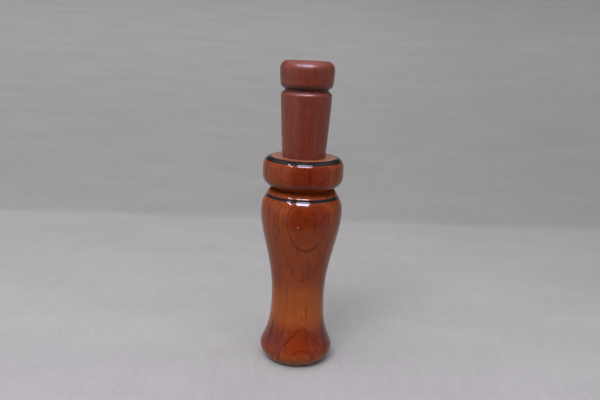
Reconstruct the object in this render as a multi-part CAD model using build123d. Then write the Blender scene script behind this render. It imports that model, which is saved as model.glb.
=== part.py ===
from build123d import *
import math
import os

# Turned wooden deer grunt call, millimetres. The call stands on its mouth lip: the axis is Z, the origin is
# the middle of the lip's flat ring. A barrel, a stopper plugged into its collar end, and the reed parts inside.

INCH = 25.4

# Barrel, outside
FOOT_LIP_OUTER = 12.0
FOOT_LIP_INNER = 9.8
FOOT_WIDE_R = 16.75
FOOT_WIDE_Z = 6.0
WAIST_R = 12.2
WAIST_Z = 30.0
SHOULDER_R = 18.25
SHOULDER_Z = 70.3
BURN_LINE_R = 15.9
BURN_LINE_Z = 78.7
BURN_LINE_WIDTH = 1.1
BURN_LINE_DEPTH = 0.3
LANYARD_GROOVE_R = 14.2
LANYARD_GROOVE_Z = 81.2
COLLAR_R = 17.95
COLLAR_Z = 89.5
COLLAR_TOP_Z = 95.6
BURN_BAND_OUTER_R = 16.95
BURN_BAND_INNER_R = 14.4
BURN_BAND_DROP = 1.25
BURN_BAND_SINK = 0.18

# Barrel, inside: one straight drilled hole, flared into the mouth lip
BORE_R = 5 / 8 * INCH / 2
MOUTH_FLARE_Z = 4.5

# Stopper, outside
SEAT_GAP = 0.05
STOPPER_BASE_R = 3 / 4 * INCH / 2
STOPPER_SIDE_R = 10.44
STOPPER_SIDE_Z = 109.0
STOPPER_TOP_R = 11.1
STOPPER_TOP_Z = 122.0
NOTCH_R = 9.5
NOTCH_Z = 124.2
NOTCH_FLOOR = 0.6
KNOB_LOW_R = 11.15
KNOB_LOW_Z = 126.2
KNOB_R = 11.8
KNOB_Z = 132.6
KNOB_EDGE = 3.5
TOTAL_HEIGHT = 136.7

# Stopper, tenon and holes
TENON_R = 7.75
TENON_LENGTH = 24.0
TENON_CHAMFER = 0.5
SOCKET_R = 3 / 8 * INCH / 2
SOCKET_DEPTH = 14.5
EXHAUST_R = 5 / 16 * INCH / 2
EXHAUST_FLARE_R = 6.4
EXHAUST_FLARE_LENGTH = 8.0

# O-rings
TENON_RING_SECTION_R = 0.84
TENON_RING_OUTER_R = 7.88
TENON_RING_HEIGHTS = {"upper_tenon_ring": 90.6, "lower_tenon_ring": 76.6}
TENON_GROOVE_FLOOR_R = 6.15
TENON_GROOVE_WIDTH = 2.2
SEAL_SECTION_R = 0.46
SEAL_Z = 80.6
SEAL_GROOVE_WIDTH = 1.2

# Toneboard: shank, bridge and board
SHANK_R = 4.72
SHANK_BORE_R = 2.9
SHANK_BORE_LOW_Z = 64.0
BRIDGE_R = 6.5
BRIDGE_LENGTH = 11.6
BRIDGE_SLOT_HALF_WIDTH = 4.4
BRIDGE_ROOF_Y = -3.6
BOARD_LENGTH = 35.5
BOARD_R = 6.0
BOARD_TIP_R = 5.2
BOARD_TIP_HALF_WIDTH = 4.6
FACE_Y = -0.5
FACE_CURVE_R = 260.0
CHANNEL_HALF_WIDTH = 2.4
CHANNEL_FLOOR_Y = 2.9
CHANNEL_END_FROM_TIP = 8.5

# Reed, its wedge and the tuning ring
REED_THICKNESS = 0.3
REED_GAP = 0.15
REED_HALF_WIDTH = 4.2
REED_TIP_HALF_WIDTH = 3.5
REED_TIP_FROM_BOARD_TIP = 2.5
REED_BUTT_GAP = 0.4
WEDGE_HALF_WIDTH = 4.2
WEDGE_TAPER = 0.35
RING_SECTION_R = 0.6
RING_BOARD_GAP = 0.05
RING_REED_SIDE_Y = -2.0
RING_CORNER_R = 1.2
RING_BELOW_BRIDGE = 5.0

# Heights that follow from the sizes above
TENON_END_Z = COLLAR_TOP_Z - TENON_LENGTH
SOCKET_TOP_Z = TENON_END_Z + SOCKET_DEPTH
BRIDGE_LOW_Z = TENON_END_Z - BRIDGE_LENGTH
BOARD_TIP_Z = BRIDGE_LOW_Z - BOARD_LENGTH
TENON_RING_CENTRE_R = TENON_RING_OUTER_R - TENON_RING_SECTION_R
SEAL_CENTRE_R = SOCKET_R - SEAL_SECTION_R


def turned(outline):
    """Solid of revolution about Z of a closed outline drawn as (radius, height) edges."""
    section = make_face(Plane.XZ * outline)
    return revolve(section, axis=Axis.Z, revolution_arc=360)


def barrel_foot_edges():
    """Mouth lip, foot edge and flare up to the waist."""
    lip_flare = Spline(
        (BORE_R, MOUTH_FLARE_Z),
        (FOOT_LIP_INNER, 0),
        tangents=[(0, -1), (1, -0.35)],
    )
    lip = Line((FOOT_LIP_INNER, 0), (FOOT_LIP_OUTER, 0))
    edge = Spline(
        (FOOT_LIP_OUTER, 0),
        (15.3, 2.3),
        (FOOT_WIDE_R, FOOT_WIDE_Z),
        tangents=[(1, 0.25), (0, 1)],
    )
    flare = Spline(
        (FOOT_WIDE_R, FOOT_WIDE_Z),
        (15.65, 9.5),
        (13.55, 15.4),
        (12.48, 22.3),
        (WAIST_R, WAIST_Z),
        tangents=[(0, 1), (0, 1)],
    )
    return [lip_flare, lip, edge, flare]


def burn_line_edges():
    """V-shaped burned line on the slope above the shoulder, drawn upwards."""
    along = Vector(-0.5, 0.866)
    inwards = Vector(-0.866, -0.5)
    centre = Vector(BURN_LINE_R, BURN_LINE_Z)
    low = centre - along * (BURN_LINE_WIDTH / 2)
    high = centre + along * (BURN_LINE_WIDTH / 2)
    bottom = centre + inwards * BURN_LINE_DEPTH
    return low, [Line(low, bottom), Line(bottom, high)], high


def barrel_body_edges(burn_low):
    """From the waist over the swelling shoulder to the burned line."""
    swell = Spline(
        (WAIST_R, WAIST_Z),
        (12.54, 38.4),
        (13.95, 47.4),
        (15.95, 56.4),
        (17.65, 64.4),
        (SHOULDER_R, SHOULDER_Z),
        tangents=[(0, 1), (0, 1)],
    )
    shoulder = Spline(
        (SHOULDER_R, SHOULDER_Z),
        (17.8, 74.9),
        (burn_low.X, burn_low.Y),
        tangents=[(0, 1), (-0.6, 0.8)],
    )
    return [swell, shoulder]


def barrel_collar_edges(burn_high):
    """Lanyard groove, collar bead, burned band and the flat end that the stopper seats on."""
    band_low = (BURN_BAND_OUTER_R, COLLAR_TOP_Z - BURN_BAND_DROP)
    band_high = (BURN_BAND_INNER_R, COLLAR_TOP_Z)
    groove = Spline(
        (burn_high.X, burn_high.Y),
        (LANYARD_GROOVE_R, LANYARD_GROOVE_Z),
        tangents=[(-0.62, 0.78), (0, 1)],
    )
    bead_under = Spline(
        (LANYARD_GROOVE_R, LANYARD_GROOVE_Z),
        (15.95, 83.35),
        (17.45, 85.35),
        (COLLAR_R, COLLAR_Z),
        tangents=[(0, 1), (0, 1)],
    )
    bead = Spline(
        (COLLAR_R, COLLAR_Z),
        (17.75, 92.6),
        band_low,
        tangents=[(0, 1), (-0.75, 0.66)],
    )
    band_step = Line(band_low, (band_low[0] - BURN_BAND_SINK, band_low[1]))
    band = Spline(
        (band_low[0] - BURN_BAND_SINK, band_low[1]),
        (15.9, COLLAR_TOP_Z - 0.45),
        (band_high[0], COLLAR_TOP_Z - BURN_BAND_SINK),
        tangents=[(-0.5, 0.87), (-1, 0.1)],
    )
    band_rise = Line((band_high[0], COLLAR_TOP_Z - BURN_BAND_SINK), band_high)
    end = Line(band_high, (BORE_R, COLLAR_TOP_Z))
    return [groove, bead_under, bead, band_step, band, band_rise, end]


def ring_groove(outer_r, floor_r, width):
    """The space of a square groove round a shaft, centred on the origin."""
    return Cylinder(outer_r, width) - Cylinder(floor_r, width)


def make_barrel():
    burn_low, burn_edges, burn_high = burn_line_edges()
    edges = barrel_foot_edges()
    edges += barrel_body_edges(burn_low)
    edges += burn_edges
    edges += barrel_collar_edges(burn_high)
    edges.append(Line((BORE_R, COLLAR_TOP_Z), (BORE_R, MOUTH_FLARE_Z)))
    return turned(Curve() + edges)


def stopper_outline():
    seat_z = COLLAR_TOP_Z + SEAT_GAP
    notch_high_z = NOTCH_Z + NOTCH_FLOOR
    tenon = Polyline(
        (SOCKET_R, TENON_END_Z),
        (TENON_R - TENON_CHAMFER, TENON_END_Z),
        (TENON_R, TENON_END_Z + TENON_CHAMFER),
        (TENON_R, seat_z),
        (STOPPER_BASE_R - 0.2, seat_z),
        (STOPPER_BASE_R, seat_z + 0.2),
    )
    side = Spline(
        (STOPPER_BASE_R, seat_z + 0.2),
        (STOPPER_SIDE_R, STOPPER_SIDE_Z),
        (STOPPER_TOP_R, STOPPER_TOP_Z),
        tangents=[(0.08, 1), (0.04, 1)],
    )
    body_lip = Spline(
        (STOPPER_TOP_R, STOPPER_TOP_Z),
        (10.88, 122.95),
        (NOTCH_R, NOTCH_Z),
        tangents=[(0.04, 1), (-0.75, 0.66)],
    )
    notch = Line((NOTCH_R, NOTCH_Z), (NOTCH_R, notch_high_z))
    knob_under = Spline(
        (NOTCH_R, notch_high_z),
        (KNOB_LOW_R, KNOB_LOW_Z),
        (11.5, 128.0),
        (KNOB_R, KNOB_Z),
        tangents=[(0.9, 0.5), (0, 1)],
    )
    knob_side = Line((KNOB_R, KNOB_Z), (KNOB_R, TOTAL_HEIGHT - KNOB_EDGE))
    knob_edge = RadiusArc(
        (KNOB_R, TOTAL_HEIGHT - KNOB_EDGE), (KNOB_R - KNOB_EDGE, TOTAL_HEIGHT), -KNOB_EDGE
    )
    top = Line((KNOB_R - KNOB_EDGE, TOTAL_HEIGHT), (EXHAUST_FLARE_R, TOTAL_HEIGHT))
    flare = Spline(
        (EXHAUST_FLARE_R, TOTAL_HEIGHT),
        (EXHAUST_R, TOTAL_HEIGHT - EXHAUST_FLARE_LENGTH),
        tangents=[(-0.8, -0.6), (0, -1)],
    )
    holes = Polyline(
        (EXHAUST_R, TOTAL_HEIGHT - EXHAUST_FLARE_LENGTH),
        (EXHAUST_R, SOCKET_TOP_Z),
        (SOCKET_R, SOCKET_TOP_Z),
        (SOCKET_R, TENON_END_Z),
    )
    lower = [tenon, side, body_lip, notch]
    return Curve() + lower + [knob_under, knob_side, knob_edge, top, flare, holes]


def make_stopper():
    stopper = turned(stopper_outline())
    ring_space = ring_groove(TENON_R + 1, TENON_GROOVE_FLOOR_R, TENON_GROOVE_WIDTH)
    for height in TENON_RING_HEIGHTS.values():
        stopper -= Pos(0, 0, height) * ring_space
    return stopper


def make_tenon_ring(height):
    return Pos(0, 0, height) * Torus(TENON_RING_CENTRE_R, TENON_RING_SECTION_R)


def make_toneboard_seal():
    return Pos(0, 0, SEAL_Z) * Torus(SEAL_CENTRE_R, SEAL_SECTION_R)


def upright(radius, low_z, high_z):
    """Cylinder on the axis between two heights."""
    return Pos(0, 0, low_z) * Cylinder(radius, high_z - low_z, align=(Align.CENTER, Align.CENTER, Align.MIN))


def block(half_width, y_low, y_high, z_low, z_high):
    """Box centred on X between two Y and two Z values."""
    middle = Pos(0, (y_low + y_high) / 2, (z_low + z_high) / 2)
    return middle * Box(2 * half_width, y_high - y_low, z_high - z_low)


def tongue(half_width, tip_half_width, y_low, y_high, z_tip, z_root):
    """Tapering strip with a round tip at z_tip, seen along Y, between two Y values."""
    tip_round_z = z_tip + tip_half_width
    outline = Curve() + [
        Line((-half_width, z_root), (half_width, z_root)),
        Line((half_width, z_root), (tip_half_width, tip_round_z)),
        ThreePointArc((tip_half_width, tip_round_z), (0, z_tip), (-tip_half_width, tip_round_z)),
        Line((-tip_half_width, tip_round_z), (-half_width, z_root)),
    ]
    face = make_face(Plane.XZ * outline)
    return Pos(0, y_high, 0) * extrude(face, amount=y_high - y_low, dir=(0, -1, 0))


def make_board():
    """Tapering half-round board: its face curves away from the reed towards the tip."""
    taper = turned(
        Polyline(
            (0, BOARD_TIP_Z),
            (BOARD_TIP_R, BOARD_TIP_Z),
            (BOARD_R, BRIDGE_LOW_Z),
            (0, BRIDGE_LOW_Z),
            close=True,
        )
    )
    face_curve = Rot(0, 90, 0) * Cylinder(FACE_CURVE_R, 4 * BOARD_R)
    face_curve = Pos(0, FACE_Y + FACE_CURVE_R, BRIDGE_LOW_Z) * face_curve
    plan = tongue(BOARD_R + 0.5, BOARD_TIP_HALF_WIDTH, -BOARD_R, BOARD_R, BOARD_TIP_Z, BRIDGE_LOW_Z)
    return taper & face_curve & plan


def make_bridge():
    """Round bridge with the slot that the reed's butt and the wedge are pushed into."""
    slot = block(BRIDGE_SLOT_HALF_WIDTH, BRIDGE_ROOF_Y, FACE_Y, BRIDGE_LOW_Z, TENON_END_Z)
    return upright(BRIDGE_R, BRIDGE_LOW_Z, TENON_END_Z) - slot


def sound_channel():
    """Channel under the reed, rounded at its lower end, open into the bore of the shank."""
    end_z = BOARD_TIP_Z + CHANNEL_END_FROM_TIP
    return tongue(CHANNEL_HALF_WIDTH, CHANNEL_HALF_WIDTH, -BOARD_R, CHANNEL_FLOOR_Y, end_z, BRIDGE_LOW_Z)


def make_toneboard():
    shank = upright(SHANK_R, TENON_END_Z, SOCKET_TOP_Z)
    shank -= Pos(0, 0, SEAL_Z) * ring_groove(SHANK_R + 1, SEAL_CENTRE_R - SEAL_SECTION_R, SEAL_GROOVE_WIDTH)
    bridge = make_bridge()
    bridge -= block(CHANNEL_HALF_WIDTH, FACE_Y, CHANNEL_FLOOR_Y, BRIDGE_LOW_Z, TENON_END_Z)
    board = make_board() - sound_channel()
    bore = upright(SHANK_BORE_R, SHANK_BORE_LOW_Z, TENON_END_Z)
    bore &= block(SHANK_BORE_R, FACE_Y, SHANK_BORE_R, SHANK_BORE_LOW_Z, TENON_END_Z)
    bore += upright(SHANK_BORE_R, TENON_END_Z, SOCKET_TOP_Z)
    return shank + bridge + board - bore


def make_reed():
    y_high = FACE_Y - REED_GAP
    tip_z = BOARD_TIP_Z + REED_TIP_FROM_BOARD_TIP
    butt_z = TENON_END_Z - REED_BUTT_GAP
    return tongue(REED_HALF_WIDTH, REED_TIP_HALF_WIDTH, y_high - REED_THICKNESS, y_high, tip_z, butt_z)


def make_reed_wedge():
    """Cork wedge between the reed and the bridge's roof, a little thicker at its outer end."""
    reed_side = FACE_Y - REED_THICKNESS - 2 * REED_GAP
    butt_z = TENON_END_Z - REED_BUTT_GAP
    outer_z = BRIDGE_LOW_Z - 0.6
    side = Polyline(
        (reed_side, outer_z),
        (reed_side, butt_z),
        (BRIDGE_ROOF_Y + WEDGE_TAPER, butt_z),
        (BRIDGE_ROOF_Y, BRIDGE_LOW_Z + 1.5),
        (BRIDGE_ROOF_Y, outer_z),
        close=True,
    )
    face = make_face(Plane.YZ * side)
    return Pos(-WEDGE_HALF_WIDTH, 0, 0) * extrude(face, amount=2 * WEDGE_HALF_WIDTH, dir=(1, 0, 0))


def make_tuning_ring():
    """Rubber ring stretched into a D: round behind the board, straight across the reed."""
    z = BRIDGE_LOW_Z - RING_BELOW_BRIDGE
    path_r = BOARD_R + RING_BOARD_GAP + RING_SECTION_R
    corner_centre_y = RING_REED_SIDE_Y + RING_CORNER_R
    corner_centre_x = math.sqrt((path_r - RING_CORNER_R) ** 2 - corner_centre_y**2)
    reach = path_r / (path_r - RING_CORNER_R)
    join = (corner_centre_x * reach, corner_centre_y * reach)
    middle_angle = (math.atan2(corner_centre_y, corner_centre_x) - math.pi / 2) / 2
    corner_middle = (
        corner_centre_x + RING_CORNER_R * math.cos(middle_angle),
        corner_centre_y + RING_CORNER_R * math.sin(middle_angle),
    )
    straight = Line((-corner_centre_x, RING_REED_SIDE_Y), (corner_centre_x, RING_REED_SIDE_Y))
    right = ThreePointArc((corner_centre_x, RING_REED_SIDE_Y), corner_middle, join)
    back = ThreePointArc(join, (0, path_r), (-join[0], join[1]))
    left = right.mirror(Plane.YZ)
    path = Wire([*straight.edges(), *right.edges(), *back.edges(), *left.edges()])
    section = Plane(origin=(0, RING_REED_SIDE_Y, 0), z_dir=(1, 0, 0)) * Circle(RING_SECTION_R)
    return Pos(0, 0, z) * sweep(section, path=path)


def write_parts():
    os.makedirs("parts", exist_ok=True)
    pieces = {
        "barrel": make_barrel(),
        "stopper": make_stopper(),
        "toneboard": make_toneboard(),
        "toneboard_seal": make_toneboard_seal(),
        "reed": make_reed(),
        "reed_wedge": make_reed_wedge(),
        "tuning_ring": make_tuning_ring(),
    }
    for name, height in TENON_RING_HEIGHTS.items():
        pieces[name] = make_tenon_ring(height)
    for name, piece in pieces.items():
        export_step(piece, f"parts/{name}.step")


write_parts()
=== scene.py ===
import math
import bpy
import numpy as np
from mathutils import Matrix, Vector


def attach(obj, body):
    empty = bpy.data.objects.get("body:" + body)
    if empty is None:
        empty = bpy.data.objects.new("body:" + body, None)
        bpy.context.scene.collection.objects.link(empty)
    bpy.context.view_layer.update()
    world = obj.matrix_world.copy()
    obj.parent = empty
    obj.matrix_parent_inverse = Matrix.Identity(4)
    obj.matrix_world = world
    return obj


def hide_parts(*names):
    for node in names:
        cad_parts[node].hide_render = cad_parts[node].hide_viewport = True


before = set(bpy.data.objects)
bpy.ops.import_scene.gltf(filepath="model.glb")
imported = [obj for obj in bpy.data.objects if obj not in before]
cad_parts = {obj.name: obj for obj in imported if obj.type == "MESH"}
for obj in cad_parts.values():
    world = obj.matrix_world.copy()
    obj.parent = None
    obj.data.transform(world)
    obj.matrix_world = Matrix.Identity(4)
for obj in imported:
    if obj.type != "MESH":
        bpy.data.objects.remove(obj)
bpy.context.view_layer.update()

# Looks of a turned wooden grunt call. Outlines are (radius, height) in millimetres and follow the CAD model,
# but the burned line is shallower here and the ledge above it is fuller, for the sake of their highlights.
# Lights and bumps are in metres. Colours are linear.
MM = 0.001
INCH = 25.4

# Barrel
BORE_R = 5 / 8 * INCH / 2
MOUTH_FLARE_Z = 4.5
LIP_INNER_R, LIP_OUTER_R = 9.8, 12.0
FOOT_WIDE = (16.75, 6.0)
WAIST = (12.2, 30.0)
SHOULDER = (18.25, 70.3)
BURN_LINE_CENTRE = (15.9, 78.7)
BURN_LINE_WIDTH, BURN_LINE_DEPTH = 1.1, 0.13
UP_THE_SLOPE = (-0.5, 0.866)
GROOVE = (14.2, 81.2)
COLLAR = (17.95, 89.5)
COLLAR_TOP_Z = 95.6
BAND_OUTER_R, BAND_INNER_R, BAND_DROP, BAND_SINK = 16.95, 14.4, 1.25, 0.18

# Stopper
TENON_END_Z = 71.6
TENON_R, TENON_CHAMFER = 7.75, 0.5
TENON_GROOVE_R, TENON_GROOVE_WIDTH = 6.15, 2.2
TENON_RING_HEIGHTS = {"lower_tenon_ring": 76.6, "upper_tenon_ring": 90.6}
SOCKET_R, SOCKET_TOP_Z = 3 / 8 * INCH / 2, 86.1
EXHAUST_R, EXHAUST_FLARE_R, EXHAUST_FLARE_LENGTH = 5 / 16 * INCH / 2, 6.4, 8.0
SEAT_Z = 95.65
STOPPER_BASE_R, STOPPER_BASE_CHAMFER = 3 / 4 * INCH / 2, 0.2
STOPPER_SIDE = (10.44, 109.0)
STOPPER_TOP = (11.1, 122.0)
NOTCH = (9.5, 124.2)
NOTCH_FLOOR = 0.6
KNOB_LOW = (11.15, 126.2)
KNOB = (11.8, 132.6)
KNOB_EDGE = 3.5
TOTAL_HEIGHT = 136.7

# Crack at the foot: angle from the front (negative to the left) and height at its ends
CRACK_TOP = (-24.6, 9.2)
CRACK_LOW = (-27.2, 2.6)
CRACK_HALF_WIDTH = 0.17
CRACK_DEPTH = 0.5


# ---------------------------------------------------------------- outlines

def unit(direction):
    return np.array(direction, float) / math.hypot(*direction)


def smooth(points, start, end, steps):
    """Curve with continuous curvature through the points, leaving and arriving in the given directions."""
    p = np.array(points, float)
    gaps = np.linalg.norm(np.diff(p, axis=0), axis=1)
    knots = np.concatenate([[0], np.cumsum(gaps)])
    count = len(p)
    system = np.eye(count)
    slopes = np.zeros((count, 2))
    slopes[0], slopes[-1] = unit(start), unit(end)
    for i in range(1, count - 1):
        before, after = gaps[i - 1], gaps[i]
        system[i, i - 1:i + 2] = 1 / before, 2 / before + 2 / after, 1 / after
        slopes[i] = 3 * ((p[i] - p[i - 1]) / before**2 + (p[i + 1] - p[i]) / after**2)
    slopes = np.linalg.solve(system, slopes)
    curve = []
    for s in np.linspace(0, knots[-1], steps + 1):
        i = min(int(np.searchsorted(knots, s, side="right")) - 1, count - 2)
        gap = gaps[i]
        t = (s - knots[i]) / gap
        curve.append(
            (2 * t**3 - 3 * t**2 + 1) * p[i]
            + (t**3 - 2 * t**2 + t) * gap * slopes[i]
            + (3 * t**2 - 2 * t**3) * p[i + 1]
            + (t**3 - t**2) * gap * slopes[i + 1]
        )
    return curve


def straight(start, end, steps=1):
    return [np.array(start) + (np.array(end) - np.array(start)) * k / steps for k in range(steps + 1)]


def arc(centre, radius, start_deg, end_deg, steps):
    angles = np.radians(np.linspace(start_deg, end_deg, steps + 1))
    return [np.array(centre) + radius * np.array([math.cos(a), math.sin(a)]) for a in angles]


def joined(*runs):
    """One outline from runs that meet end to end, with each shared point kept once."""
    points = []
    for run in runs:
        for point in run:
            if not points or np.linalg.norm(point - points[-1]) > 1e-4:
                points.append(np.array(point, float))
    if np.linalg.norm(points[0] - points[-1]) < 1e-4:
        points.pop()
    return np.array(points)


def burn_line_points():
    """Lower lip, floor and upper lip of the burned line above the shoulder."""
    along = unit(UP_THE_SLOPE)
    inwards = np.array([-along[1], along[0]])
    centre = np.array(BURN_LINE_CENTRE)
    half = along * BURN_LINE_WIDTH / 2
    return centre - half, centre + inwards * BURN_LINE_DEPTH, centre + half


def barrel_outline():
    burn_low, burn_floor, burn_high = burn_line_points()
    band_low = np.array([BAND_OUTER_R, COLLAR_TOP_Z - BAND_DROP])
    band_start = band_low - (BAND_SINK, 0)
    band_end = np.array([BAND_INNER_R, COLLAR_TOP_Z - BAND_SINK])
    return joined(
        smooth([(BORE_R, MOUTH_FLARE_Z), (LIP_INNER_R, 0)], (0, -1), (1, -0.35), 12),
        straight((LIP_INNER_R, 0), (LIP_OUTER_R, 0), 3),
        smooth([(LIP_OUTER_R, 0), (15.3, 2.3), FOOT_WIDE], (1, 0.25), (0, 1), 26),
        smooth([FOOT_WIDE, (15.65, 9.5), (13.55, 15.4), (12.48, 22.3), WAIST], (0, 1), (0, 1), 44),
        smooth(
            [WAIST, (12.54, 38.4), (13.95, 47.4), (15.95, 56.4), (17.65, 64.4), SHOULDER], (0, 1), (0, 1), 44
        ),
        smooth([SHOULDER, (17.8, 74.9), burn_low], (0, 1), (-0.6, 0.8), 22),
        straight(burn_low, burn_floor, 3),
        straight(burn_floor, burn_high, 3),
        smooth([burn_high, (15.42, 79.62), (14.42, 80.72), GROOVE], (-0.2, 0.98), (0, 1), 20),
        smooth([GROOVE, (15.95, 83.35), (17.45, 85.35), COLLAR], (0, 1), (0, 1), 26),
        smooth([COLLAR, (17.75, 92.6), band_low], (0, 1), (-0.75, 0.66), 16),
        straight(band_low, band_start),
        smooth([band_start, (15.9, COLLAR_TOP_Z - 0.45), band_end], (-0.5, 0.87), (-1, 0.1), 12),
        straight(band_end, (BAND_INNER_R, COLLAR_TOP_Z)),
        straight((BAND_INNER_R, COLLAR_TOP_Z), (BORE_R, COLLAR_TOP_Z), 10),
        straight((BORE_R, COLLAR_TOP_Z), (BORE_R, MOUTH_FLARE_Z), 24),
    )


def stopper_outline():
    notch_high = (NOTCH[0], NOTCH[1] + NOTCH_FLOOR)
    edge_centre = (KNOB[0] - KNOB_EDGE, TOTAL_HEIGHT - KNOB_EDGE)
    flare_low = (EXHAUST_R, TOTAL_HEIGHT - EXHAUST_FLARE_LENGTH)
    base_inner = (STOPPER_BASE_R - STOPPER_BASE_CHAMFER, SEAT_Z)
    base_outer = (STOPPER_BASE_R, SEAT_Z + STOPPER_BASE_CHAMFER)
    tenon_rim = (TENON_R - TENON_CHAMFER, TENON_END_Z)
    side = (TENON_R, TENON_END_Z + TENON_CHAMFER)
    tenon = [straight((SOCKET_R, TENON_END_Z), tenon_rim, 3), straight(tenon_rim, side)]
    for height in TENON_RING_HEIGHTS.values():
        low, high = height - TENON_GROOVE_WIDTH / 2, height + TENON_GROOVE_WIDTH / 2
        tenon.append(straight(side, (TENON_R, low), 6))
        tenon.append(straight((TENON_R, low), (TENON_GROOVE_R, low), 2))
        tenon.append(straight((TENON_GROOVE_R, low), (TENON_GROOVE_R, high), 2))
        tenon.append(straight((TENON_GROOVE_R, high), (TENON_R, high), 2))
        side = (TENON_R, high)
    return joined(
        *tenon,
        straight(side, (TENON_R, SEAT_Z), 4),
        straight((TENON_R, SEAT_Z), base_inner, 2),
        straight(base_inner, base_outer),
        smooth([base_outer, STOPPER_SIDE, STOPPER_TOP], (0.08, 1), (0.04, 1), 24),
        smooth([STOPPER_TOP, (10.88, 122.95), NOTCH], (0.04, 1), (-0.75, 0.66), 14),
        straight(NOTCH, notch_high, 2),
        smooth([notch_high, KNOB_LOW, (11.5, 128.0), KNOB], (0.9, 0.5), (0, 1), 24),
        straight(KNOB, (KNOB[0], edge_centre[1]), 2),
        arc(edge_centre, KNOB_EDGE, 0, 90, 18),
        straight((edge_centre[0], TOTAL_HEIGHT), (EXHAUST_FLARE_R, TOTAL_HEIGHT), 4),
        smooth([(EXHAUST_FLARE_R, TOTAL_HEIGHT), flare_low], (-0.8, -0.6), (0, -1), 16),
        straight(flare_low, (EXHAUST_R, SOCKET_TOP_Z), 12),
        straight((EXHAUST_R, SOCKET_TOP_Z), (SOCKET_R, SOCKET_TOP_Z)),
        straight((SOCKET_R, SOCKET_TOP_Z), (SOCKET_R, TENON_END_Z), 6),
    )


# ---------------------------------------------------------------- meshes

def mesh_object(name, points, faces, sharp_deg=35):
    mesh = bpy.data.meshes.new(name)
    mesh.from_pydata([tuple(p * MM) for p in points], [], faces)
    mesh.validate()
    mesh.update()
    mesh.shade_smooth()
    mesh.set_sharp_from_angle(angle=math.radians(sharp_deg))
    piece = bpy.data.objects.new(name, mesh)
    bpy.context.scene.collection.objects.link(piece)
    return piece


def turned(name, outline, angles_deg, shape=None):
    """Closed solid of revolution. Angles run from the front, -Y, towards +X.

    shape may give each point (radius, angle, z) another radius.
    """
    angles = np.radians(np.array(angles_deg))
    radius, angle = np.meshgrid(outline[:, 0], angles, indexing="ij")
    z = np.repeat(outline[:, 1:2], len(angles), axis=1)
    if shape is not None:
        radius = shape(radius, angle, z)
    points = np.stack([radius * np.sin(angle), -radius * np.cos(angle), z], axis=-1).reshape(-1, 3)
    rows, columns = len(outline), len(angles)
    faces = []
    for i in range(rows):
        low, high = i * columns, (i + 1) % rows * columns
        for j in range(columns):
            k = (j + 1) % columns
            faces.append((low + j, low + k, high + k, high + j))
    return mesh_object(name, points, faces)


def even_angles(count):
    return np.linspace(-180, 180, count, endpoint=False)


def barrel_angles():
    """Even columns, with fine ones added where the crack runs."""
    fine = np.arange(CRACK_LOW[0] - 1.6, CRACK_TOP[0] + 1.6, 0.14)
    coarse = [a for a in even_angles(240) if a < fine[0] - 0.5 or a > fine[-1] + 0.5]
    return np.sort(np.concatenate([coarse, fine]))


def with_crack(radius, angle, z):
    """A thin drying crack that opens from the foot's edge and closes upwards."""
    along = np.clip((z - CRACK_LOW[1]) / (CRACK_TOP[1] - CRACK_LOW[1]), 0, 1)
    wander = 0.25 * np.sin(z * 2.3) + 0.15 * np.sin(z * 5.1)
    centre = CRACK_LOW[0] + (CRACK_TOP[0] - CRACK_LOW[0]) * along + wander
    away = np.abs(np.radians(centre) - angle) * radius
    open_here = np.sin(np.pi * np.clip(0.12 + 0.88 * along, 0, 1)) ** 0.5
    outside = (radius > LIP_OUTER_R) & (z > CRACK_LOW[1]) & (z < CRACK_TOP[1])
    dip = np.clip(1 - (away / (CRACK_HALF_WIDTH * np.maximum(open_here, 0.05))) ** 2, 0, 1)
    return radius - np.where(outside, CRACK_DEPTH * dip * open_here, 0)


# ---------------------------------------------------------------- materials

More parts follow.
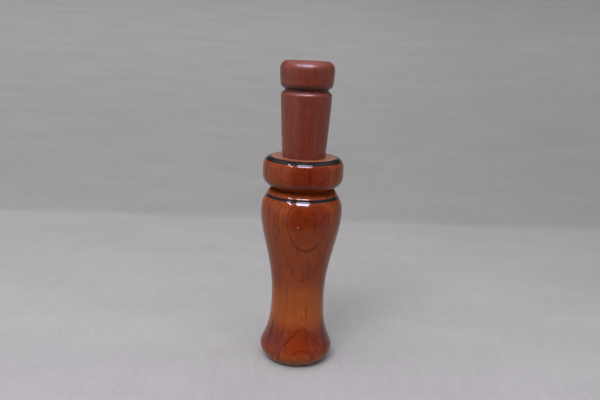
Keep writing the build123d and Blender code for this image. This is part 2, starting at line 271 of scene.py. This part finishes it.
class NodeTree:
    """A node tree with short calls for the nodes used here."""

    def __init__(self, tree):
        self.tree = tree

    def feed(self, socket, value):
        if isinstance(value, bpy.types.NodeSocket):
            self.tree.links.new(value, socket)
        else:
            socket.default_value = value

    def math(self, operation, *values, clamp=False):
        node = self.tree.nodes.new("ShaderNodeMath")
        node.operation = operation
        node.use_clamp = clamp
        for socket, value in zip(node.inputs, values):
            self.feed(socket, value)
        return node.outputs[0]

    def vector(self, operation, *values):
        node = self.tree.nodes.new("ShaderNodeVectorMath")
        node.operation = operation
        for socket, value in zip(node.inputs, values):
            self.feed(socket, value)
        return node.outputs[1] if operation in ("LENGTH", "DOT_PRODUCT") else node.outputs[0]

    def split(self, vector):
        node = self.tree.nodes.new("ShaderNodeSeparateXYZ")
        self.feed(node.inputs[0], vector)
        return node.outputs

    def join(self, x, y, z):
        node = self.tree.nodes.new("ShaderNodeCombineXYZ")
        for socket, value in zip(node.inputs, (x, y, z)):
            self.feed(socket, value)
        return node.outputs[0]

    def noise(self, vector, scale, detail=2.0, roughness=0.5):
        node = self.tree.nodes.new("ShaderNodeTexNoise")
        self.feed(node.inputs["Vector"], vector)
        node.inputs["Scale"].default_value = scale
        node.inputs["Detail"].default_value = detail
        node.inputs["Roughness"].default_value = roughness
        return node.outputs[0]

    def step(self, value, low, high, out_low=0.0, out_high=1.0):
        """Smooth step of value from low to high."""
        node = self.tree.nodes.new("ShaderNodeMapRange")
        node.interpolation_type = "SMOOTHSTEP"
        for socket, number in zip(node.inputs, (value, low, high, out_low, out_high)):
            self.feed(socket, number)
        return node.outputs[0]

    def near(self, value, centre, reach):
        """1 where value is at centre, falling smoothly to 0 at reach away from it."""
        return self.step(self.math("ABSOLUTE", self.math("SUBTRACT", value, centre)), 0.0, reach, 1.0, 0.0)

    def mix(self, factor, first, second, blend="MIX"):
        node = self.tree.nodes.new("ShaderNodeMix")
        node.data_type = "RGBA"
        node.blend_type = blend
        self.feed(node.inputs[0], factor)
        for socket, value in ((node.inputs[6], first), (node.inputs[7], second)):
            self.feed(socket, value if isinstance(value, bpy.types.NodeSocket) else (*value, 1))
        return node.outputs[2]

    def scaled(self, colour, factor):
        """Colour times a grey factor."""
        return self.mix(1.0, colour, self.join(factor, factor, factor), "MULTIPLY")

    def bump(self, height, strength, distance, normal=None):
        node = self.tree.nodes.new("ShaderNodeBump")
        node.inputs["Strength"].default_value = strength
        node.inputs["Distance"].default_value = distance
        self.feed(node.inputs["Height"], height)
        if normal is not None:
            self.feed(node.inputs["Normal"], normal)
        return node.outputs[0]


class Shader(NodeTree):
    """A new material with one surface shader, and the place of each of its points in millimetres."""

    def __init__(self, name):
        self.material = bpy.data.materials.new(name)
        self.material.use_nodes = True
        super().__init__(self.material.node_tree)
        self.tree.nodes.clear()
        self.surface = self.tree.nodes.new("ShaderNodeBsdfPrincipled")
        output = self.tree.nodes.new("ShaderNodeOutputMaterial")
        self.tree.links.new(self.surface.outputs[0], output.inputs["Surface"])
        coordinates = self.tree.nodes.new("ShaderNodeTexCoord").outputs["Object"]
        self.millimetres = self.vector("MULTIPLY", coordinates, (1000, 1000, 1000))
        self.x, self.y, self.z = self.split(self.millimetres)

    def stretched(self, scales, detail=2.0, roughness=0.5):
        """Noise with so many features per millimetre along x, y and z."""
        return self.noise(self.vector("MULTIPLY", self.millimetres, scales), 1.0, detail, roughness)

    def azimuth(self):
        """Angle round the axis in radians, from the front towards +X."""
        return self.math("ARCTAN2", self.x, self.math("MULTIPLY", self.y, -1.0))

    def radius(self):
        """Distance from the axis."""
        return self.vector("LENGTH", self.join(self.x, self.y, 0.0))

    def set(self, **values):
        for name, value in values.items():
            self.feed(self.surface.inputs[name.replace("_", " ")], value)


# Growth rings of the barrel's cedar. Ring depth is measured from the axis towards a direction a little right
# of the front; the rings bend one way near the surface and the other way deeper down.
RING_TURN = math.radians(11.3)
RING_LINE = 12.78
RING_PERIOD = 3.44
RING_BEND = 0.007
RING_BEND_CHANGE = -0.0028
RING_BEND_LEAST, RING_BEND_MOST = -0.012, 0.0135
RIPPLE_PERIOD = 0.36
CEDAR_PALE = (0.226, 0.0508, 0.0070)
CEDAR_RED = (0.133, 0.0163, 0.0042)
CEDAR_DUSK = (0.108, 0.0172, 0.0078)
CEDAR_LATE = (0.092, 0.0105, 0.0048)
CEDAR_STREAK = (0.040, 0.0098, 0.0082)
CEDAR_BARE = (0.25, 0.108, 0.06)
# Dark mineral streaks: angle from the front and half width in degrees, height and half height in mm, strength
DARK_STREAKS = (
    (-56.0, 9.0, 15.0, 9.5, 0.95),
    (-40.0, 7.0, 14.0, 7.0, 0.45),
    (-28.0, 6.0, 15.0, 5.5, 0.50),
    (64.0, 13.0, 14.5, 10.0, 0.95),
    (36.0, 10.0, 12.0, 5.0, 0.40),
    (-53.0, 7.0, 40.0, 16.0, 0.40),
    (-22.5, 3.0, 34.0, 11.0, 0.35),
    (58.0, 10.0, 38.0, 18.0, 0.40),
    (-50.0, 8.0, 73.0, 8.0, 0.45),
    (61.0, 10.0, 70.0, 12.0, 0.40),
    (-62.0, 9.0, 91.0, 8.0, 0.50),
    (-30.0, 7.0, 93.0, 5.0, 0.30),
    (52.0, 9.0, 91.0, 7.0, 0.35),
    (132.0, 7.0, 17.0, 9.0, 0.70),
    (-128.0, 8.0, 42.0, 18.0, 0.50),
    (175.0, 5.0, 60.0, 14.0, 0.40),
)
# Nibs and runs in the lacquer: angle from the front, height, half width and half height in mm
LACQUER_NIBS = (
    (-3.5, 67.7, 0.65, 0.60),
    (-37.0, 64.2, 0.60, 2.2),
    (-19.0, 12.6, 0.60, 2.4),
    (23.0, 10.0, 0.60, 2.8),
    (150.0, 48.0, 0.60, 0.60),
)
CHAR = (0.006, 0.005, 0.006)
MAHOGANY_LIGHT = (0.148, 0.0265, 0.0105)
MAHOGANY_DARK = (0.112, 0.0180, 0.0080)
MAHOGANY_HEART = (0.126, 0.0180, 0.0046)
MAHOGANY_PORE = (0.045, 0.010, 0.006)
# Colour in and under the notch: a slight burn, with painted shade under the knob.
MAHOGANY_NOTCH_BURN_AND_SHADE = (0.03, 0.009, 0.006)


def at_waist(s):
    """1 along the waist, where the rings run almost level with the surface; 0 at the foot and shoulder."""
    return s.math("MULTIPLY", s.step(s.z, 8.0, 16.0), s.step(s.z, 40.5, 46.0, 1.0, 0.0))


def ring_depth(s):
    """Depth of each point among the growth rings, in millimetres from the axis."""
    sine, cosine = math.sin(RING_TURN), math.cos(RING_TURN)
    toward = s.math("SUBTRACT", s.math("MULTIPLY", s.x, sine), s.math("MULTIPLY", s.y, cosine))
    across = s.math("ADD", s.math("MULTIPLY", s.x, cosine), s.math("MULTIPLY", s.y, sine))
    bend = s.math("MULTIPLY", s.math("SUBTRACT", toward, RING_LINE), RING_BEND_CHANGE)
    bend = s.math("ADD", bend, RING_BEND)
    bend = s.math("MAXIMUM", s.math("MINIMUM", bend, RING_BEND_MOST), RING_BEND_LEAST)
    bent = s.math("MULTIPLY", bend, s.math("MULTIPLY", across, across))
    depth = s.math("SUBTRACT", s.math("SUBTRACT", toward, s.math("MULTIPLY", across, 0.02)), bent)
    dip = s.math("MULTIPLY", at_waist(s), s.step(s.z, 22.0, 34.0, 0.28, 0.45))
    depth = s.math("SUBTRACT", depth, dip)
    swell = s.stretched((0.11, 0.11, 0.055), 2.0, 0.5)
    waver = s.stretched((0.42, 0.42, 0.16), 3.0, 0.6)
    depth = s.math("ADD", depth, s.math("MULTIPLY", s.math("SUBTRACT", swell, 0.5), 0.45))
    return s.math("ADD", depth, s.math("MULTIPLY", s.math("SUBTRACT", waver, 0.5), 0.32))


def dark_streaks(s):
    """How dark the wood's mineral streaks are at each point."""
    azimuth = s.math("DEGREES", s.azimuth())
    ragged = s.stretched((0.9, 0.9, 0.12), 3.0, 0.6)
    azimuth = s.math("ADD", azimuth, s.math("MULTIPLY", s.math("SUBTRACT", ragged, 0.5), 4.0))
    total = None
    for angle, half_width, height, half_height, strength in DARK_STREAKS:
        one = s.math("MULTIPLY", s.near(azimuth, angle, half_width), s.near(s.z, height, half_height))
        one = s.math("MULTIPLY", one, strength)
        total = one if total is None else s.math("MAXIMUM", total, one)
    return total


def cedar_stain(s, depth):
    """How red the stain is: pale at the waist, red at the foot, the shoulder's heart and the collar."""
    foot = s.step(s.z, 14.0, 24.5, 0.9, 0.0)
    lip = s.step(s.z, 2.0, 9.0, -0.9, 0.0)
    body = s.step(s.z, 31.0, 42.0, 0.0, 0.54)
    heart = s.math("MULTIPLY", s.step(depth, 15.0, 17.2), s.step(s.z, 62.0, 72.0, 0.0, 0.42))
    blotches = s.stretched((0.1, 0.1, 0.07), 3.0, 0.55)
    blotches = s.math("MULTIPLY", s.math("SUBTRACT", blotches, 0.5), 0.7)
    stain = s.math("ADD", s.math("ADD", foot, lip), s.math("ADD", body, heart))
    return s.math("ADD", stain, blotches, clamp=True)


def cedar_colour(s):
    """Colour of the stained cedar, and how much late wood there is."""
    depth = ring_depth(s)
    ring = s.math("DIVIDE", s.math("SUBTRACT", depth, RING_LINE), RING_PERIOD)
    within = s.math("FRACT", ring)
    late_start = s.step(s.z, 11.0, 19.0, 0.79, 0.935)
    late_start = s.math("ADD", late_start, s.step(s.z, 40.5, 46.0, 0.0, -0.075))
    late = s.step(within, late_start, s.math("ADD", late_start, 0.05))
    late = s.math("MULTIPLY", late, s.step(within, 0.975, 1.0, 1.0, 0.0))
    fresh = s.math("MULTIPLY", s.step(within, 0.0, 0.04), s.step(within, 0.05, 0.14, 1.0, 0.0))
    fresh = s.math("MULTIPLY", fresh, s.math("SUBTRACT", 1.0, at_waist(s)))
    ripple_size = s.stretched((0.25, 0.25, 0.12), 2.0)
    ripple = s.math("SINE", s.math("MULTIPLY", depth, 2 * math.pi / RIPPLE_PERIOD))
    ripple = s.math("MULTIPLY", ripple, s.step(ripple_size, 0.35, 0.65, 0.03, 0.13))
    tone = s.tree.nodes.new("ShaderNodeTexWhiteNoise")
    tone.noise_dimensions = "1D"
    s.feed(tone.inputs["W"], s.math("FLOOR", ring))

    fibres = s.stretched((1.7, 1.7, 0.06), 4.0, 0.65)
    flecks = s.stretched((3.2, 3.2, 0.9), 2.0, 0.5)
    streaks = s.stretched((0.42, 0.42, 0.022), 3.0, 0.55)

    dusk = s.math("MULTIPLY", s.step(s.z, 11.0, 19.0, 0.65, 0.0), s.step(depth, 12.5, 13.0, 1.0, 0.0))
    dusk = s.math("MULTIPLY", dusk, s.step(s.z, 3.0, 8.0))
    colour = s.mix(cedar_stain(s, depth), CEDAR_PALE, CEDAR_RED)
    colour = s.mix(dusk, colour, CEDAR_DUSK)
    late_strength = s.math("MULTIPLY", s.step(s.z, 16.0, 26.0, 0.95, 0.65), s.step(s.z, 7.0, 11.0, 0.3, 1.0))
    colour = s.mix(s.math("MULTIPLY", late, late_strength), colour, CEDAR_LATE)
    colour = s.mix(dark_streaks(s), colour, CEDAR_STREAK)
    shade = s.math("ADD", 0.95, s.math("MULTIPLY", tone.outputs[0], 0.08))
    shade = s.math("MULTIPLY", shade, s.math("ADD", 1.0, s.math("MULTIPLY", fresh, 0.12)))
    shade = s.math("MULTIPLY", shade, s.math("ADD", 1.0, ripple))
    shade = s.math("MULTIPLY", shade, s.step(fibres, 0.3, 0.7, 0.87, 1.13))
    shade = s.math("MULTIPLY", shade, s.step(flecks, 0.3, 0.7, 0.95, 1.05))
    shade = s.math("MULTIPLY", shade, s.step(streaks, 0.52, 0.70, 1.0, 0.72))
    return s.scaled(colour, shade), late


def lacquer_nibs(s):
    """Height of the small nibs and runs in the lacquer."""
    azimuth = s.azimuth()
    radius = s.radius()
    total = None
    for angle, height, half_width, half_height in LACQUER_NIBS:
        across = s.math("MULTIPLY", s.math("SUBTRACT", azimuth, math.radians(angle)), radius)
        across = s.math("DIVIDE", across, half_width)
        up = s.math("DIVIDE", s.math("SUBTRACT", s.z, height), half_height)
        one = s.math("SUBTRACT", 1.0, s.vector("LENGTH", s.join(across, up, 0.0)), clamp=True)
        total = one if total is None else s.math("MAXIMUM", total, one)
    return total


def in_groove(s):
    """1 at the floor of the lanyard groove, where little lacquer reaches and the colour is darkened as
    painted shade.
    """
    return s.near(s.z, GROOVE[1] + 0.5, 2.1)


def burn_mask(s):
    """1 in the burned line above the shoulder and in the burned band round the collar's end."""
    radius = s.radius()
    ragged = s.stretched((0.8, 0.8, 1.5), 3.0, 0.6)
    ragged = s.math("MULTIPLY", s.math("SUBTRACT", ragged, 0.5), 0.35)
    along = unit(UP_THE_SLOPE)
    outwards = s.math("MULTIPLY", s.math("SUBTRACT", radius, BURN_LINE_CENTRE[0]), float(along[0]))
    upwards = s.math("MULTIPLY", s.math("SUBTRACT", s.z, BURN_LINE_CENTRE[1]), float(along[1]))
    offset = s.math("ADD", s.math("ABSOLUTE", s.math("ADD", outwards, upwards)), ragged)
    line = s.step(offset, 0.5, 0.85, 1.0, 0.0)
    line = s.math("MULTIPLY", line, s.step(radius, 14.6, 14.9))
    line = s.math("MULTIPLY", line, s.step(s.z, 76.5, 77.0))
    band_low = COLLAR_TOP_Z - BAND_DROP
    band = s.step(s.math("ADD", s.z, ragged), band_low - 0.25, band_low + 0.1)
    band = s.math("MULTIPLY", band, s.step(radius, BAND_INNER_R - 0.15, BAND_INNER_R + 0.05))
    return s.math("MAXIMUM", line, band)


def lacquered_cedar():
    s = Shader("lacquered_cedar")
    colour, late = cedar_colour(s)
    burned = burn_mask(s)
    ripple = s.noise(s.millimetres, 0.22, 2.0, 0.4)
    fine = s.stretched((2.2, 2.2, 0.25), 2.0)
    lacquer = s.bump(ripple, 0.3, 0.0001)
    lacquer = s.bump(lacquer_nibs(s), 1.0, 0.0005, lacquer)
    wood = s.bump(s.math("ADD", fine, late), 0.2, 0.00004, lacquer)
    groove = in_groove(s)
    # Painted shade: the wood darkens to 0.55 of its colour towards the floor of the groove.
    colour = s.scaled(colour, s.step(groove, 0.0, 1.0, 1.0, 0.55))
    s.set(
        Base_Color=s.mix(burned, colour, CHAR),
        Roughness=0.5,
        Normal=wood,
        Coat_Weight=s.step(groove, 0.04, 0.4, 1.0, 0.06),
        Coat_Roughness=0.055,
        Coat_IOR=1.35,
        Coat_Normal=lacquer,
    )
    s.surface.inputs["Specular IOR Level"].default_value = 0.0
    return s.material


def bare_cedar():
    """Cut end and drilled bore: the same rings under a thin, satin coat."""
    s = Shader("bare_cedar")
    colour, _ = cedar_colour(s)
    pale = s.mix(0.45, colour, CEDAR_BARE)
    turning = s.stretched((0.5, 0.5, 4.0), 2.0)
    normal = s.bump(turning, 0.3, 0.00008)
    s.set(Base_Color=pale, Roughness=0.5, Normal=normal)
    s.set(Coat_Weight=0.8, Coat_Roughness=0.22, Coat_IOR=1.45, Coat_Normal=normal)
    s.surface.inputs["Specular IOR Level"].default_value = 0.2
    return s.material


def oiled_mahogany():
    s = Shader("oiled_mahogany")
    bands = s.stretched((0.3, 0.3, 0.03), 3.0, 0.55)
    fibres = s.stretched((1.7, 1.7, 0.11), 3.0, 0.65)
    pores = s.stretched((4.4, 4.4, 0.36), 2.0, 0.5)
    mottle = s.noise(s.millimetres, 0.35, 3.0, 0.6)
    open_pore = s.step(pores, 0.57, 0.66)
    azimuth = s.math("DEGREES", s.azimuth())
    heart = s.math("MULTIPLY", s.near(azimuth, 12.0, 85.0), 0.9)
    colour = s.mix(s.step(bands, 0.3, 0.7), MAHOGANY_LIGHT, MAHOGANY_DARK)
    colour = s.mix(heart, colour, MAHOGANY_HEART)
    shade = s.math("MULTIPLY", s.step(fibres, 0.3, 0.7, 0.80, 1.20), s.step(mottle, 0.3, 0.7, 0.90, 1.10))
    colour = s.scaled(colour, shade)
    colour = s.mix(s.math("MULTIPLY", open_pore, 0.62), colour, MAHOGANY_PORE)
    # Painted shade under the knob, with a slight burn: the colour darkens to a near-black brown around the
    # notch.
    from_notch = s.math("ABSOLUTE", s.math("SUBTRACT", s.z, NOTCH[1] + 1.0))
    dark = s.math("MULTIPLY", s.step(from_notch, 0.5, 2.2, 0.65, 0.0), s.step(s.radius(), 8.6, 9.0))
    colour = s.mix(dark, colour, MAHOGANY_NOTCH_BURN_AND_SHADE)
    normal = s.bump(s.math("SUBTRACT", fibres, open_pore), 0.3, 0.00008)
    s.set(
        Base_Color=colour,
        Roughness=0.5,
        Normal=normal,
        Coat_Weight=0.9,
        Coat_Roughness=0.28,
        Coat_IOR=1.35,
        Coat_Normal=normal,
    )
    s.surface.inputs["Specular IOR Level"].default_value = 0.2
    return s.material


def black_rubber():
    s = Shader("black_rubber")
    grain = s.noise(s.millimetres, 3.0, 3.0, 0.6)
    colour = s.mix(grain, (0.012, 0.012, 0.013), (0.03, 0.03, 0.031))
    roughness = s.step(grain, 0.3, 0.7, 0.42, 0.6)
    s.set(Base_Color=colour, Roughness=roughness, Normal=s.bump(grain, 0.2, 0.00003))
    return s.material


def moulded_plastic():
    s = Shader("moulded_plastic")
    grain = s.noise(s.millimetres, 1.6, 3.0, 0.6)
    flow = s.stretched((0.5, 0.5, 0.08), 2.0)
    colour = s.mix(flow, (0.018, 0.018, 0.02), (0.035, 0.035, 0.04))
    roughness = s.step(grain, 0.3, 0.7, 0.26, 0.38)
    s.set(Base_Color=colour, Roughness=roughness, Normal=s.bump(grain, 0.15, 0.00003))
    return s.material


def reed_film():
    s = Shader("reed_film")
    haze = s.stretched((0.9, 0.9, 0.15), 3.0)
    colour = s.mix(haze, (0.74, 0.75, 0.68), (0.83, 0.84, 0.8))
    scratches = s.stretched((6.0, 6.0, 0.2), 2.0)
    roughness = s.step(scratches, 0.4, 0.7, 0.18, 0.34)
    s.set(Base_Color=colour, Roughness=roughness, Normal=s.bump(scratches, 0.1, 0.00002))
    s.set(Transmission_Weight=0.45)
    return s.material


def cork():
    s = Shader("cork")
    cells = s.tree.nodes.new("ShaderNodeTexVoronoi")
    s.feed(cells.inputs["Vector"], s.millimetres)
    cells.inputs["Scale"].default_value = 0.9
    grain = s.noise(s.millimetres, 2.0, 4.0, 0.65)
    dark = s.step(grain, 0.58, 0.68)
    colour = s.mix(cells.outputs["Distance"], (0.42, 0.25, 0.13), (0.58, 0.38, 0.22))
    colour = s.mix(s.math("MULTIPLY", dark, 0.7), colour, (0.12, 0.06, 0.03))
    s.set(Base_Color=colour, Roughness=0.85, Normal=s.bump(s.math("SUBTRACT", grain, dark), 0.5, 0.00015))
    return s.material


# ---------------------------------------------------------------- pieces

def give(piece, body, node, slot, *materials):
    """Hang a piece on its body, in place of its CAD node."""
    for material in materials:
        piece.data.materials.append(material)
    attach(piece, body)
    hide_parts(node)


def make_barrel():
    piece = turned("barrel_turned", barrel_outline(), barrel_angles(), with_crack)
    give(piece, "barrel", "barrel", "barrel_wood", lacquered_cedar(), bare_cedar())
    for face in piece.data.polygons:
        radius = math.hypot(face.center.x, face.center.y) / MM
        on_end = face.center.z > (COLLAR_TOP_Z - 0.05) * MM
        in_bore = radius < BORE_R + 0.05
        face.material_index = 1 if on_end or in_bore else 0


def make_stopper():
    piece = turned("stopper_turned", stopper_outline(), even_angles(224))
    give(piece, "stopper", "stopper", "stopper_wood", oiled_mahogany())


def dress_cad_nodes():
    rubber = black_rubber()
    looks = {
        "upper_tenon_ring": rubber,
        "lower_tenon_ring": rubber,
        "toneboard_seal": rubber,
        "tuning_ring": rubber,
        "toneboard": moulded_plastic(),
        "reed": reed_film(),
        "reed_wedge": cork(),
    }
    for node, material in looks.items():
        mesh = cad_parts[node].data
        mesh.materials.clear()
        mesh.materials.append(material)


# ---------------------------------------------------------------- stage, light, camera

CAMERA_DISTANCE = 261.6
CAMERA_HEIGHT = 141.3
CAMERA_PITCH = math.radians(14.1)
CAMERA_ROLL = math.radians(2.5)
CAMERA_YAW = math.radians(-0.1815)

# Cloth: where its front edge lies, where it creases and how far the crease runs back per length to the right
CLOTH_FRONT = -165.0
CLOTH_FOLD = 232.0
CLOTH_FOLD_TURN = 0.03
CLOTH_FOLD_RADIUS = 40.0
CLOTH_SLOPE = math.radians(18)
CLOTH_SLOPE_LENGTH = 1500.0
CLOTH_HALF_WIDTH = 1500.0
CLOTH_WARM = (0.229, 0.231, 0.219)
CLOTH_ROSY = (0.231, 0.226, 0.226)
CLOTH_NEAR = (0.229, 0.219, 0.234)

SHINE_COLOUR = (0.76, 0.74, 1.0)
STRIP_COLOUR = (0.80, 0.78, 1.0)
ROOM_COLOUR = (0.98, 0.94, 1.05, 1)


def make_camera():
    data = bpy.data.cameras.new("camera")
    data.sensor_width = 36
    data.lens = 36
    data.clip_start = 0.01
    camera = bpy.data.objects.new("camera", data)
    bpy.context.scene.collection.objects.link(camera)
    look = Vector((
        math.sin(CAMERA_YAW) * math.cos(CAMERA_PITCH),
        math.cos(CAMERA_YAW) * math.cos(CAMERA_PITCH),
        -math.sin(CAMERA_PITCH),
    ))
    level_right = look.cross(Vector((0, 0, 1))).normalized()
    level_up = level_right.cross(look)
    right = level_right * math.cos(CAMERA_ROLL) + level_up * math.sin(CAMERA_ROLL)
    up = level_up * math.cos(CAMERA_ROLL) - level_right * math.sin(CAMERA_ROLL)
    turn = Matrix((right, up, -look)).transposed().to_4x4()
    camera.matrix_world = Matrix.Translation(Vector((0, -CAMERA_DISTANCE, CAMERA_HEIGHT)) * MM) @ turn
    bpy.context.scene.camera = camera
    bpy.context.scene.view_settings.view_transform = "Standard"


def area_light(name, centre, size_x, size_y, power, colour=(1, 1, 1)):
    """Rectangular light that faces straight down."""
    data = bpy.data.lights.new(name, "AREA")
    data.shape = "RECTANGLE"
    data.size, data.size_y = size_x, size_y
    data.energy = power
    data.color = colour
    light = bpy.data.objects.new(name, data)
    light.location = centre
    bpy.context.scene.collection.objects.link(light)
    return light


def make_lights():
    """Two lights give only the highlights in the lacquer, and three give only the even, matt light."""
    shine = area_light("overhead_shine", (0.06, -0.765, 1.07), 0.68, 0.46, 44, SHINE_COLOUR)
    strip = area_light("strip_shine", (-0.64, -0.57, 1.07), 0.09, 0.5, 10, STRIP_COLOUR)
    for light in (shine, strip):
        light.visible_diffuse = False
    key = area_light("key", (-0.34, -0.72, 1.07), 0.6, 0.4, 15.5)
    fill = area_light("fill", (-0.9, -1.3, 2.2), 5.0, 5.0, 124)
    side = area_light("side", (0.55, -0.45, 0.22), 0.3, 0.3, 1.1)
    half_way_up = Vector((0, 0, 0.07))
    side.rotation_euler = (half_way_up - side.location).to_track_quat("-Z", "Y").to_euler()
    for light in (key, fill, side):
        light.visible_glossy = False


def make_room():
    """Dim room with a bright ceiling and soft walls to the left and the right of the call."""
    world = bpy.data.worlds.new("room")
    world.use_nodes = True
    background = world.node_tree.nodes["Background"]
    n = NodeTree(world.node_tree)
    x, y, z = n.split(n.tree.nodes.new("ShaderNodeTexCoord").outputs["Generated"])
    azimuth = n.math("DEGREES", n.math("ARCTAN2", x, n.math("MULTIPLY", y, -1.0)))
    low = n.step(z, 0.25, 0.6, 1.0, 0.0)
    left = n.math("MULTIPLY", n.step(azimuth, -40, -26, 1.0, 0.0), n.step(azimuth, -130, -100))
    right = n.math("MULTIPLY", n.step(azimuth, 32, 50), n.step(azimuth, 100, 130, 1.0, 0.0))
    walls = n.math("ADD", n.math("MULTIPLY", left, 0.55), n.math("MULTIPLY", right, 0.32))
    walls = n.math("MULTIPLY", walls, low)
    ceiling = n.step(z, 0.45, 0.85, 0.0, 0.75)
    glow = n.math("ADD", n.math("ADD", walls, ceiling), 0.07)
    background.inputs["Color"].default_value = ROOM_COLOUR
    n.feed(background.inputs["Strength"], glow)
    bpy.context.scene.world = world


def cloth_shade(s):
    """Grey factor from the cloth's weave and wear, times painted light and shade by place, then its nap and
    its patches of tint.
    """
    flat = s.join(s.x, s.math("ADD", s.y, s.z), 0.0)

    def pattern(across, along, detail, roughness):
        return s.noise(s.vector("MULTIPLY", flat, (across, along, 1.0)), 1.0, detail, roughness)

    warp = pattern(0.9, 0.06, 3.0, 0.65)
    weft = pattern(0.05, 1.1, 3.0, 0.65)
    nap = pattern(0.7, 0.9, 4.0, 0.75)
    slubs = pattern(0.22, 0.02, 3.0, 0.7)
    creases = pattern(0.012, 0.03, 3.0, 0.5)
    tint = pattern(0.06, 0.08, 3.0, 0.6)
    past_fold = s.math("SUBTRACT", s.y, s.math("MULTIPLY", s.x, CLOTH_FOLD_TURN))
    factors = (
        s.step(warp, 0.3, 0.7, 0.975, 1.025),
        s.step(weft, 0.3, 0.7, 0.975, 1.025),
        s.step(nap, 0.25, 0.75, 0.95, 1.05),
        s.step(slubs, 0.3, 0.7, 0.985, 1.015),
        s.step(creases, 0.3, 0.7, 0.97, 1.03),
        # Painted light and shade: paler towards the front, darker past the crease, lighter far back, darker
        # to the right, and fading to dark at the front edge, which the lacquer reflects as shade.
        s.step(s.y, -70.0, 215.0, 1.05, 0.97),
        s.step(past_fold, CLOTH_FOLD - 10, CLOTH_FOLD + 14, 1.0, 0.80),
        s.step(past_fold, 270.0, 800.0, 1.0, 1.28),
        s.step(s.x, 40.0, 280.0, 1.0, 0.93),
        s.step(s.y, CLOTH_FRONT, -75.0),
    )
    shade = 1.0
    for factor in factors:
        shade = s.math("MULTIPLY", shade, factor)
    return shade, nap, tint


def pale_cloth():
    s = Shader("pale_cloth")
    shade, nap, tint = cloth_shade(s)
    colour = s.mix(s.step(tint, 0.3, 0.7), CLOTH_WARM, CLOTH_ROSY)
    colour = s.mix(s.step(s.y, -90.0, 60.0), CLOTH_NEAR, colour)
    s.set(Base_Color=s.scaled(colour, shade), Roughness=0.9, Normal=s.bump(nap, 0.3, 0.0002))
    s.surface.inputs["Specular IOR Level"].default_value = 0.1
    return s.material


def cloth_backdrop():
    """Cloth that lies flat under the call and rises in a gentle slope from a crease behind it."""
    outline = [(CLOTH_FRONT, 0.0)]
    for a in np.linspace(0, CLOTH_SLOPE, 9):
        outline.append((CLOTH_FOLD + CLOTH_FOLD_RADIUS * math.sin(a), CLOTH_FOLD_RADIUS * (1 - math.cos(a))))
    y, z = outline[-1]
    run, rise = CLOTH_SLOPE_LENGTH * math.cos(CLOTH_SLOPE), CLOTH_SLOPE_LENGTH * math.sin(CLOTH_SLOPE)
    outline.append((y + run, z + rise))
    points = []
    for y, z in outline:
        turn = CLOTH_FOLD_TURN if y > 0 else 0
        points += [np.array((x, y + turn * x, z)) for x in (-CLOTH_HALF_WIDTH, CLOTH_HALF_WIDTH)]
    faces = [(2 * i, 2 * i + 1, 2 * i + 3, 2 * i + 2) for i in range(len(outline) - 1)]
    piece = mesh_object("backdrop", points, faces, 90)
    piece.data.materials.append(pale_cloth())


make_barrel()
make_stopper()
dress_cad_nodes()
cloth_backdrop()
make_lights()
make_room()
make_camera()
